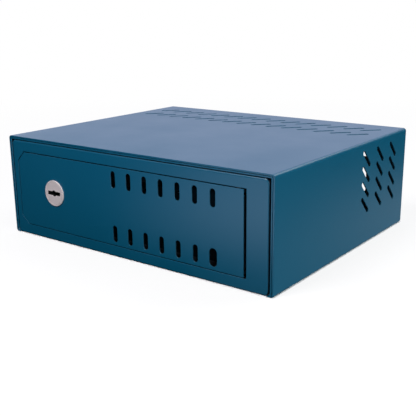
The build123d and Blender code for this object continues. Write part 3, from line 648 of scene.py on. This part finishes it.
def cut_and_clean(mesh, node):
    """Cuts a mesh through its holes and dissolves the other edges in its flat faces."""
    cuts = CUTS.get(node, {})
    planes = [("XYZ".index(axis), at) for axis, places in cuts.items() for at in places]
    for axis, at in planes:
        point, across = Vector(), Vector()
        point[axis], across[axis] = at, 1.0
        everything = mesh.verts[:] + mesh.edges[:] + mesh.faces[:]
        bmesh.ops.bisect_plane(mesh, geom=everything, dist=CUT_SLACK, plane_co=point,
                               plane_no=across)
    flat = [e for e in mesh.edges if e.is_manifold and e.calc_face_angle() < FLAT_ANGLE
            and not any(all(abs(v.co[axis] - at) < MERGE for v in e.verts)
                        for axis, at in planes)]
    bmesh.ops.dissolve_edges(mesh, edges=flat, use_verts=False)


def mend_normals(mesh):
    """Gives corners without a sound normal the normal of their face."""
    normals = [Vector(corner.vector) for corner in mesh.corner_normals]
    for face in mesh.polygons:
        for corner in face.loop_indices:
            if normals[corner].length < SOUND or normals[corner].dot(face.normal) < SOUND:
                normals[corner] = face.normal.copy()
    mesh.normals_split_custom_set(normals)


def rounded_copy(node, width):
    """A copy of a node whose sharp edges are rounded."""
    mesh = merged(node)
    cut_and_clean(mesh, node)
    piece = new_object(node + "_soft", bpy.data.meshes.new(node + "_soft"))
    mesh.to_mesh(piece.data)
    shape = BVHTree.FromBMesh(mesh)
    mesh.free()
    piece.data.shade_smooth()
    edge = piece.modifiers.new("edge", "BEVEL")
    edge.width = width
    edge.segments = 2
    edge.limit_method = "ANGLE"
    edge.angle_limit = SHARP_ANGLE
    edge.use_clamp_overlap = False
    edge.miter_outer = "MITER_ARC"
    piece.modifiers.new("flat", "WEIGHTED_NORMAL")
    bake(piece)
    for vertex in piece.data.vertices:
        nearest, _, _, away = shape.find_nearest(vertex.co)
        if away > width:
            vertex.co = nearest
    mend_normals(piece.data)
    settle(piece, BODY_OF[node], SLOT_OF[node], node)


# %% Sheets
SHEETS = {
    "cover_shell": 0.00015,
    "front_frame": 0.00025,
    "door_panel": 0.00025,
    "base_tray": 0.00025,
    "rear_panel": 0.00025,
}
for node, width in SHEETS.items():
    rounded_copy(node, width)

# %% [markdown]
# A narrow black strip closes the gap between the top of the front frame and the hem from
# behind, a dark piece put where there is only shade: it blocks the bright floor behind the
# box, which showed through the gap as specks, and its black is painted shade in the gap.
# It is a straight strip, so a cube is stretched to its ends, and its edges are rounded.

# %% Black strip of painted shade in the gap
GAP_SHADE_STRIP = {"X": (-0.1600, 0.1600), "Y": (-0.1367, -0.1340), "Z": (0.1020, 0.1043)}
GAP_SHADE_STRIP_ROUNDING = 0.0005

shade_strip = new_object("frame_gap_shade_strip", bpy.data.meshes.new("frame_gap_shade_strip"))
strip = bmesh.new()
bmesh.ops.create_cube(strip, size=1.0)
for vertex in strip.verts:
    vertex.co = [ends[side > 0] for ends, side in zip(GAP_SHADE_STRIP.values(), vertex.co)]
bmesh.ops.bevel(strip, geom=strip.edges[:], offset=GAP_SHADE_STRIP_ROUNDING, segments=3, profile=0.5,
                affect="EDGES")
bmesh.ops.recalc_face_normals(strip, faces=strip.faces)
strip.to_mesh(shade_strip.data)
strip.free()
# painted shade: the strip's black stands in for the shade in the gap
settle(shade_strip, "case", "black_rubber")


# %% [markdown]
# Rivets, threads, nuts and rubber trims repeat or follow a path, so Geometry Nodes make
# them. A turned body is a flat grid of points that a formula rolls up: the row of a
# point picks its station along the axis, and its column picks its angle. The same
# helper then makes rivets, the cores of studs and the chamfers of nuts.

# %% Geometry Nodes helpers: trees and numbers
def new_tree(name, sizes):
    """A Geometry Nodes tree with named sizes, in metres."""
    tree = bpy.data.node_groups.new(name, "GeometryNodeTree")
    tree.interface.new_socket("Geometry", in_out="INPUT", socket_type="NodeSocketGeometry")
    tree.interface.new_socket("Geometry", in_out="OUTPUT", socket_type="NodeSocketGeometry")
    for title, value in sizes.items():
        kind = "NodeSocketInt" if isinstance(value, int) else "NodeSocketFloat"
        socket = tree.interface.new_socket(title, in_out="INPUT", socket_type=kind)
        socket.default_value = value
    tree.interface.new_socket("Finish", in_out="INPUT", socket_type="NodeSocketMaterial")
    return tree, add(tree, "NodeGroupInput").outputs, add(tree, "NodeGroupOutput")


def whole(tree, operation, a, b):
    """One sum of two whole numbers."""
    node = add(tree, "FunctionNodeIntegerMath", operation=operation)
    fill(tree, node.inputs, (a, b))
    return node.outputs[0]


def pick(tree, index, values):
    """The value with the given number in a list."""
    node = add(tree, "GeometryNodeIndexSwitch", data_type="FLOAT")
    while len(node.index_switch_items) < len(values):
        node.index_switch_items.new()
    fill(tree, node.inputs, (index, *values))
    return node.outputs[0]


def index_of(tree):
    """The number of each point."""
    return add(tree, "GeometryNodeInputIndex").outputs[0]


# %% Geometry Nodes helpers: turned bodies
def put(tree, mesh, x, y, z):
    """Moves every point of a mesh to the place that three fields give."""
    place = feed(tree, add(tree, "ShaderNodeCombineXYZ"), X=x, Y=y, Z=z)
    moved = add(tree, "GeometryNodeSetPosition")
    return feed(tree, moved, Geometry=mesh, Position=place.outputs[0]).outputs[0]


def roll(tree, mesh, angle, radius, along):
    """Rolls a grid round the Y axis and welds its seam and poles."""
    x = times(tree, radius, math_node(tree, "COSINE", angle))
    z = times(tree, radius, math_node(tree, "SINE", angle))
    welded = add(tree, "GeometryNodeMergeByDistance")
    return feed(tree, welded, Geometry=put(tree, mesh, x, along, z), Distance=MERGE).outputs[0]


def lathe(tree, stations, sides):
    """A turned body round Y, from stations of a place along Y and a radius."""
    grid = add(tree, "GeometryNodeMeshGrid")
    feed(tree, grid, Vertices_X=len(stations), Vertices_Y=sides + 1)
    index = index_of(tree)
    station = whole(tree, "DIVIDE_FLOOR", index, sides + 1)
    angle = times(tree, whole(tree, "MODULO", index, sides + 1), math.tau / sides)
    along = pick(tree, station, [place for place, radius in stations])
    radius = pick(tree, station, [radius for place, radius in stations])
    return roll(tree, grid.outputs[0], angle, radius, along)


# %% Geometry Nodes helpers: real pieces
CREASE = math.radians(32)


def instance(tree, points, shape, finish, made, turn=(0, 0, 0)):
    """Puts a shape on every point, makes it real and gives it its finish."""
    node = add(tree, "GeometryNodeInstanceOnPoints")
    feed(tree, node, Points=points, Instance=shape, Rotation=turn)
    real = feed(tree, add(tree, "GeometryNodeRealizeInstances"), Geometry=node.outputs[0])
    done = add(tree, "GeometryNodeSetMaterial")
    feed(tree, done, Geometry=real.outputs[0], Material=finish)
    feed(tree, made, Geometry=done.outputs[0])


def grow(name, points, tree, slot, **sizes):
    """Runs a tree on some points and keeps what it makes as a plain mesh."""
    mesh = bpy.data.meshes.new(name)
    mesh.from_pydata(points, [], [])
    piece = new_object(name, mesh)
    nodes = piece.modifiers.new("nodes", "NODES")
    nodes.node_group = tree
    inputs = [item for item in tree.interface.items_tree if item.in_out == "INPUT"]
    sockets = {item.name: item.identifier for item in inputs}
    for title, value in sizes.items():
        nodes[sockets[title.replace("_", " ")]] = value
    nodes[sockets["Finish"]] = FINISH[slot]
    bake(piece)
    work = bmesh.new()
    work.from_mesh(piece.data)
    bmesh.ops.recalc_face_normals(work, faces=work.faces)
    work.to_mesh(piece.data)
    work.free()
    piece.data.shade_smooth()
    piece.data.set_sharp_from_angle(angle=CREASE)
    return piece


def islands(node):
    """The lowest and highest corner of each loose part of a CAD node."""
    mesh = merged(node)
    left = set(mesh.verts)
    boxes = []
    while left:
        group = [left.pop()]
        for vert in group:
            near = [e.other_vert(vert) for e in vert.link_edges]
            group += [v for v in near if v in left]
            left.difference_update(near)
        axes = [[v.co[i] for v in group] for i in range(3)]
        boxes.append((Vector([min(a) for a in axes]), Vector([max(a) for a in axes])))
    mesh.free()
    return sorted(boxes, key=lambda box: tuple(box[0]))


def seats(boxes):
    """The middle of the front of each box."""
    return [((low.x + high.x) / 2, low.y, (low.z + high.z) / 2) for low, high in boxes]


# %% [markdown]
# The cover is held to the rear panel by eight blind rivets. Pulling one leaves a low
# dome with a small hole, in which the broken end of the mandrel sits, and a bulb on the
# blind side. All of it is one turned profile, so every rivet is the same short list.

# %% Blind rivets
RIVET_SIDES = 28
HEAD_RIM = 0.00025
HOLE_LIP = 0.00012
DOME_DEGREES = (0, 22, 45, 66, 90)
BULB_SHARES = [(0.0, 0.9), (0.3, 1.0), (0.7, 0.92)]
TAIL_SHARE = 0.8

tree, given, made = new_tree("blind_rivet", {
    "Head Radius": 0.004, "Head Height": 0.0012, "Shank Radius": 0.002, "Grip": 0.003,
    "Bulb Radius": 0.0029, "Bulb Length": 0.003, "Hole Radius": 0.0011, "Hole Depth": 0.0007,
})
hole, head, shank = given["Hole Radius"], given["Head Radius"], given["Shank Radius"]
height, length, bulge = given["Head Height"], given["Bulb Length"], given["Bulb Radius"]
rise = minus(tree, height, HEAD_RIM)
start = plus(tree, hole, HOLE_LIP)
width = minus(tree, head, start)
dome = []
for angle in map(math.radians, DOME_DEGREES):
    dome.append((plus(tree, times(tree, rise, math.cos(angle)), HEAD_RIM),
                 plus(tree, start, times(tree, width, math.sin(angle)))))
floor_of_hole = minus(tree, height, given["Hole Depth"])
behind = times(tree, given["Grip"], -1.0)
bulb = [(minus(tree, behind, times(tree, length, along)), times(tree, bulge, wide))
        for along, wide in BULB_SHARES]
tail = minus(tree, behind, length)
shape = lathe(tree, [
    (floor_of_hole, 0.0), (floor_of_hole, hole), (minus(tree, height, HOLE_LIP), hole),
    *dome, (0.0, head), (0.0, shank), (bulb[0][0], shank), *bulb,
    (tail, times(tree, shank, TAIL_SHARE)), (tail, 0.0),
], RIVET_SIDES)
instance(tree, given["Geometry"], shape, given["Finish"], made)

# %% Rivets in their holes
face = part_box("cover_shell")[1].y
places = [(x, face, z) for x, y, z in seats(islands("rear_rivets"))]
rivets = grow("blind_rivets", places, tree, "rivet_aluminium")
settle(rivets, "case", "rivet_aluminium", "rear_rivets")
print("rivets at", [mm(place) for place in places])


# %% [markdown]
# Four studs are welded to the back of the door. A thread is a ridge that climbs by one
# pitch per turn: the same rolled grid, but now the place along the axis grows with the
# angle, and the ridge fades into the core over half a turn at both ends.

# %% Threads
STUD_SIDES = 20
THREAD_TURNS = 8.6
THREAD_START = 0.6
RIDGE_HEIGHTS = (-0.1, 1.0, -0.1, -0.1)
RIDGE_WIDTHS = (-0.46, 0.0, 0.46, -0.46)


def ridge(tree, radius, depth, pitch, start, turns, sides):
    """A thread ridge that climbs along Y."""
    rows = round(turns * sides) + 1
    corners = len(RIDGE_HEIGHTS)
    grid = add(tree, "GeometryNodeMeshGrid")
    feed(tree, grid, Vertices_X=rows, Vertices_Y=corners)
    index = index_of(tree)
    row = whole(tree, "DIVIDE_FLOOR", index, corners)
    side = whole(tree, "MODULO", index, corners)
    rest = whole(tree, "SUBTRACT", rows - 1, row)
    fade = times(tree, math_node(tree, "MINIMUM", row, rest), 2.0 / sides)
    fade = math_node(tree, "MINIMUM", fade, 1.0)
    high = times(tree, pick(tree, side, RIDGE_HEIGHTS), depth)
    reach = plus(tree, minus(tree, radius, depth), times(tree, high, fade))
    width = times(tree, pick(tree, side, RIDGE_WIDTHS), pitch)
    climb = times(tree, row, math_node(tree, "DIVIDE", pitch, sides))
    along = plus(tree, plus(tree, climb, start), times(tree, width, fade))
    return roll(tree, grid.outputs[0], times(tree, row, math.tau / sides), reach, along)


def join(tree, *shapes):
    """Several shapes as one."""
    node = add(tree, "GeometryNodeJoinGeometry")
    for shape in shapes:
        tree.links.new(shape, node.inputs[0])
    return node.outputs[0]


tree, given, made = new_tree("threaded_stud", {
    "Radius": 0.002, "Length": 0.007, "Pitch": 0.0007, "Depth": 0.0004,
})
radius, length, pitch, depth = (given[n] for n in ("Radius", "Length", "Pitch", "Depth"))
root = minus(tree, radius, depth)
core = lathe(tree, [
    (0.0, 0.0), (0.0, root), (minus(tree, length, depth), root),
    (length, minus(tree, root, depth)), (length, 0.0),
], STUD_SIDES)
start = times(tree, pitch, THREAD_START)
thread = ridge(tree, radius, depth, pitch, start, THREAD_TURNS, STUD_SIDES)
instance(tree, given["Geometry"], join(tree, core, thread), given["Finish"], made)
places = seats(islands("lock_case_studs"))
studs = grow("threaded_studs", places, tree, "zinc_plate")
settle(studs, "door", "zinc_plate", "lock_case_studs")
print("studs at", [mm(place) for place in places])

# %% [markdown]
# A nut is a hexagonal bar cut to length and then turned, which leaves the curved
# chamfers at its corners. Here a Mesh Boolean keeps what the bar and the turned ring
# share. One tree serves the small nuts of the lock case and the wide nut of the lock.

# %% Hexagon nut
NUT_SIDES = 48
CROWN = 0.485
TURNED = 1.01
CHAMFER_SLOPE = 0.5
BORE_CHAMFER = 0.12

tree, given, made = new_tree("hexagon_nut", {
    "Flats": 0.007, "Bore": 0.00205, "Thickness": 0.0032, "Seed": 3, "Swing": 0.0,
})
end, bore = given["Thickness"], given["Bore"]
corner = times(tree, given["Flats"], 1 / math.sqrt(3))
bar = add(tree, "GeometryNodeMeshCylinder")
feed(tree, bar, Vertices=6, Radius=corner, Depth=end)
middle = feed(tree, add(tree, "ShaderNodeCombineXYZ"), Y=times(tree, end, 0.5))
lay = feed(tree, add(tree, "GeometryNodeTransform"), Geometry=bar.outputs[0],
           Translation=middle.outputs[0], Rotation=(math.pi / 2, 0, 0))
outer = times(tree, corner, TURNED)
crown = times(tree, given["Flats"], CROWN)
slope = times(tree, minus(tree, outer, crown), CHAMFER_SLOPE)
bite = times(tree, bore, BORE_CHAMFER)
mouth = plus(tree, bore, bite)
ring = lathe(tree, [
    (0.0, mouth), (0.0, crown), (slope, outer), (minus(tree, end, slope), outer),
    (end, crown), (end, mouth), (minus(tree, end, bite), bore), (bite, bore), (0.0, mouth),
], NUT_SIDES)
both = add(tree, "GeometryNodeMeshBoolean", operation="INTERSECT")
tree.links.new(lay.outputs[0], both.inputs["Mesh 2"])
tree.links.new(ring, both.inputs["Mesh 2"])
swing = add(tree, "FunctionNodeRandomValue", data_type="FLOAT")
least, most = swing.inputs[2], swing.inputs[3]
fill(tree, (swing.inputs["Seed"], least, most),
     (given["Seed"], times(tree, given["Swing"], -1.0), given["Swing"]))
turn = feed(tree, add(tree, "ShaderNodeCombineXYZ"), Y=swing.outputs[1])
instance(tree, given["Geometry"], both.outputs[0], given["Finish"], made, turn.outputs[0])

# %% Nuts in their places
SMALL_NUT_SWING = 0.35
WIDE_NUT_BORE = 0.01205

nuts = grow("lock_case_hex_nuts", seats(islands("lock_case_nuts")), tree, "zinc_plate",
            Swing=SMALL_NUT_SWING)
settle(nuts, "door", "zinc_plate", "lock_case_nuts")
low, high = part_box("lock_nut")
wide_nut = grow("lock_hex_nut", seats([(low, high)]), tree, "zinc_plate",
                Flats=high.z - low.z, Bore=WIDE_NUT_BORE, Thickness=high.y - low.y)
settle(wide_nut, "door", "zinc_plate", "lock_nut")

# %% [markdown]
# The cut edges of the cable windows wear a rubber trim: one U-shaped profile pushed on
# all round. That is a profile swept along a path, so the tree draws a rounded rectangle
# and sends the U along it. The profile's corners are rounded, as extruded rubber is.

# %% Rubber trim
CORNER_STEPS = 8
SOFT_SHARE = 0.3

tree, given, made = new_tree("edge_trim", {
    "Width": 0.248, "Height": 0.0303, "Corner": 0.003, "Sheet": 0.0015, "Wall": 0.001,
    "Lip": 0.0025, "Round": 0.0004,
})
wall, rounding = given["Wall"], given["Round"]
square = add(tree, "GeometryNodeCurvePrimitiveQuadrilateral")
feed(tree, square, Width=given["Width"], Height=given["Height"])
bent = add(tree, "GeometryNodeFilletCurve", mode="POLY")
feed(tree, bent, Curve=square.outputs[0], Radius=given["Corner"], Count=CORNER_STEPS)
stand = feed(tree, add(tree, "GeometryNodeTransform"), Geometry=bent.outputs[0],
             Rotation=(math.pi / 2, 0, 0))
half_sheet = times(tree, given["Sheet"], 0.5)
outside = plus(tree, half_sheet, wall)
reach = plus(tree, wall, given["Lip"])
soft = times(tree, rounding, SOFT_SHARE)
shy, near = minus(tree, outside, rounding), minus(tree, outside, soft)
short, far = minus(tree, reach, rounding), minus(tree, reach, soft)
half_profile = [
    (shy, 0.0), (near, soft), (outside, rounding), (outside, short), (near, far),
    (shy, reach), (half_sheet, reach), (half_sheet, wall),
]
profile = half_profile + [(times(tree, w, -1.0), u) for w, u in reversed(half_profile)]
loop = feed(tree, add(tree, "GeometryNodeMeshCircle"), Vertices=len(profile))
index = index_of(tree)
aside = pick(tree, index, [w for w, u in profile])
outwards = times(tree, pick(tree, index, [u for w, u in profile]), -1.0)
drawn = put(tree, loop.outputs[0], aside, outwards, 0.0)
edge = feed(tree, add(tree, "GeometryNodeMeshToCurve"), Mesh=drawn)
swept = feed(tree, add(tree, "GeometryNodeCurveToMesh"), Curve=stand.outputs[0],
             Profile_Curve=edge.outputs[0])
instance(tree, given["Geometry"], swept.outputs[0], given["Finish"], made)

# %% Trims round the windows
TRIM_DEPTH = 0.0035

for node in ("lower_window_trim", "upper_window_trim"):
    low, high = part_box(node)
    window = high - low - 2 * Vector((TRIM_DEPTH, 0, TRIM_DEPTH))
    piece = grow(node + "_rubber", [tuple((low + high) / 2)], tree, "black_rubber",
                 Width=window.x, Height=window.z)
    settle(piece, "case", "black_rubber", node)

# %% [markdown]
# The small fittings of the door, the hinges and the lock are cut and turned parts that
# the CAD model already shapes rightly. They only need their edges rounded like the
# sheets, each by a width that suits its size: brackets more, washers and the lock less.

# %% Small fittings
FITTINGS = {
    "strike_bracket": 0.0003, "door_stop_top": 0.0003, "door_stop_bottom": 0.0003,
    "hinge_bracket_top": 0.0003, "hinge_bracket_bottom": 0.0003, "hinge_pin_top": 0.00015,
    "hinge_pin_bottom": 0.00015, "hinge_washer_top": 0.0001, "hinge_washer_bottom": 0.0001,
    "door_bumpers": 0.0001, "lock_case": 0.0002, "lock_bolt": 0.0003, "lock_crank": 0.0002,
    "crank_pin": 0.0002, "bolt_guide_post": 0.0002, "lock_washer": 0.00012,
    "lock_plug": 0.00012, "lock_housing": 0.00012,
}
for node, width in FITTINGS.items():
    rounded_copy(node, width)

# %% [markdown]
# Every CAD node now has a dressed piece that stands for it. The last cell prints the
# size after dressing, since dressing a part must not make it grow.

# %% Sizes
low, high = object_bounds()
print("box", [round((b - a) * 1000, 1) for a, b in zip(low, high)], "mm")
